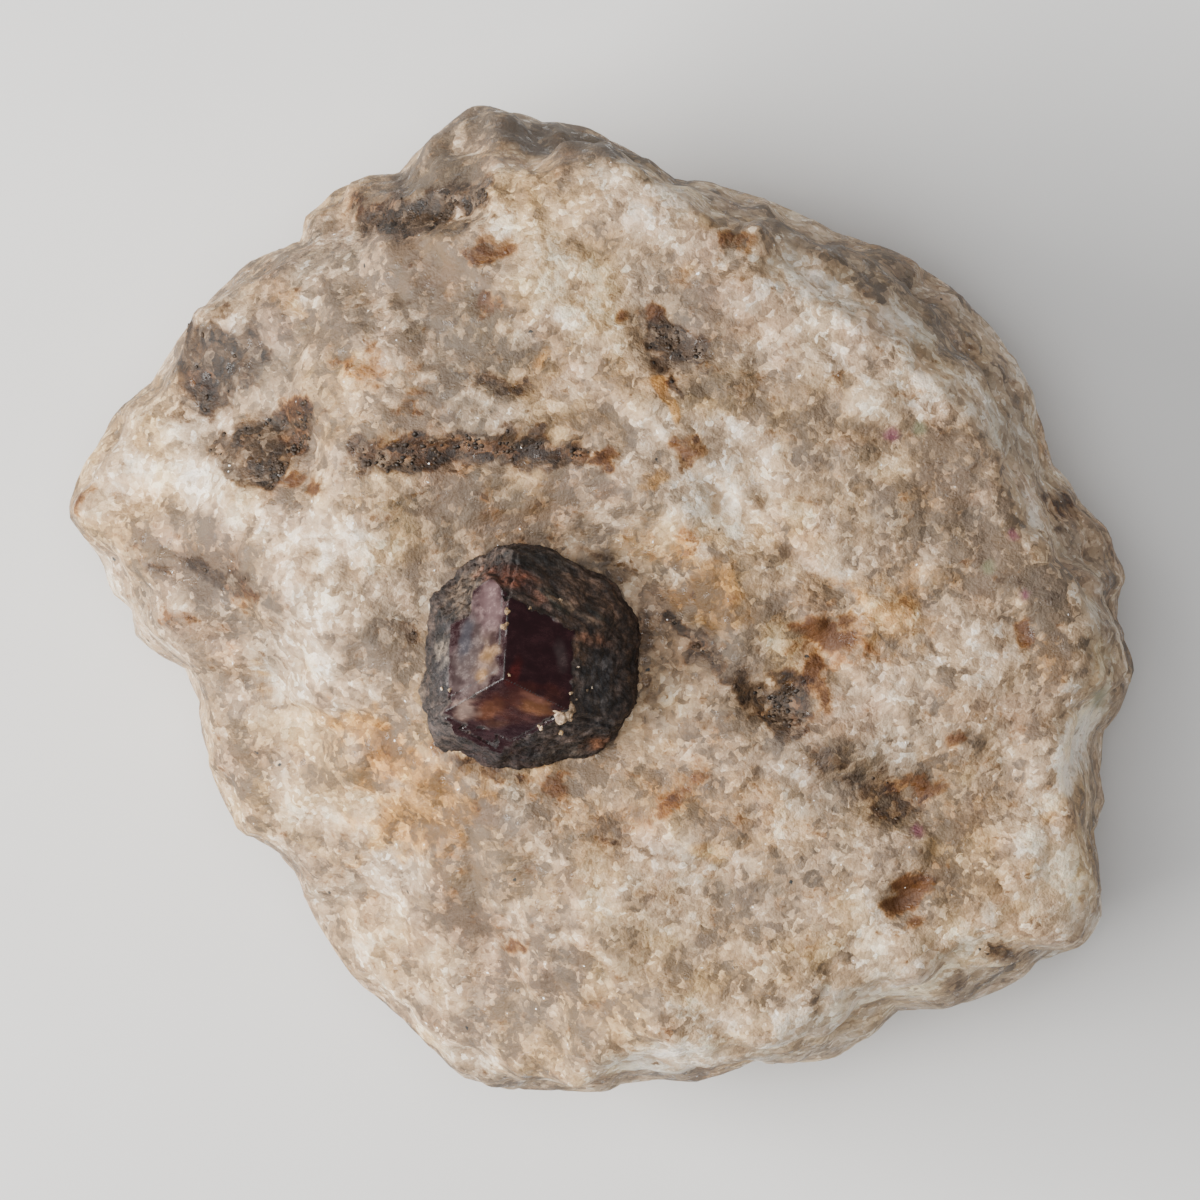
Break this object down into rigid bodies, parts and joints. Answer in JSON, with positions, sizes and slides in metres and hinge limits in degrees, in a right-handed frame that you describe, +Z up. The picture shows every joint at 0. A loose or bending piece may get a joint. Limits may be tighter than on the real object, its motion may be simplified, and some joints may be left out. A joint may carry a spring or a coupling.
{
  "type": "garnet in matrix",
  "caption": "Dark red faceted garnet crystal seated in a broken lump of pale sugary quartz and feldspar rock, resting on a flat back.",
  "frame": {"origin": "centre of the bounding box in plan, at the level of the flat back that the rock rests on", "axes": "+Z up, out of the broad face that shows the crystal; +X along the rock's longest side; +Y across it, away from a viewer at the near edge"},
  "size_m": [0.0862, 0.0798, 0.0449],
  "materials": {
    "matrix": "rough sugary broken rock",
    "garnet": "glossy crystal faces"
  },
  "bodies": {
    "root": {"matrix": "matrix", "garnet": "garnet"}
  },
  "joints": []
}
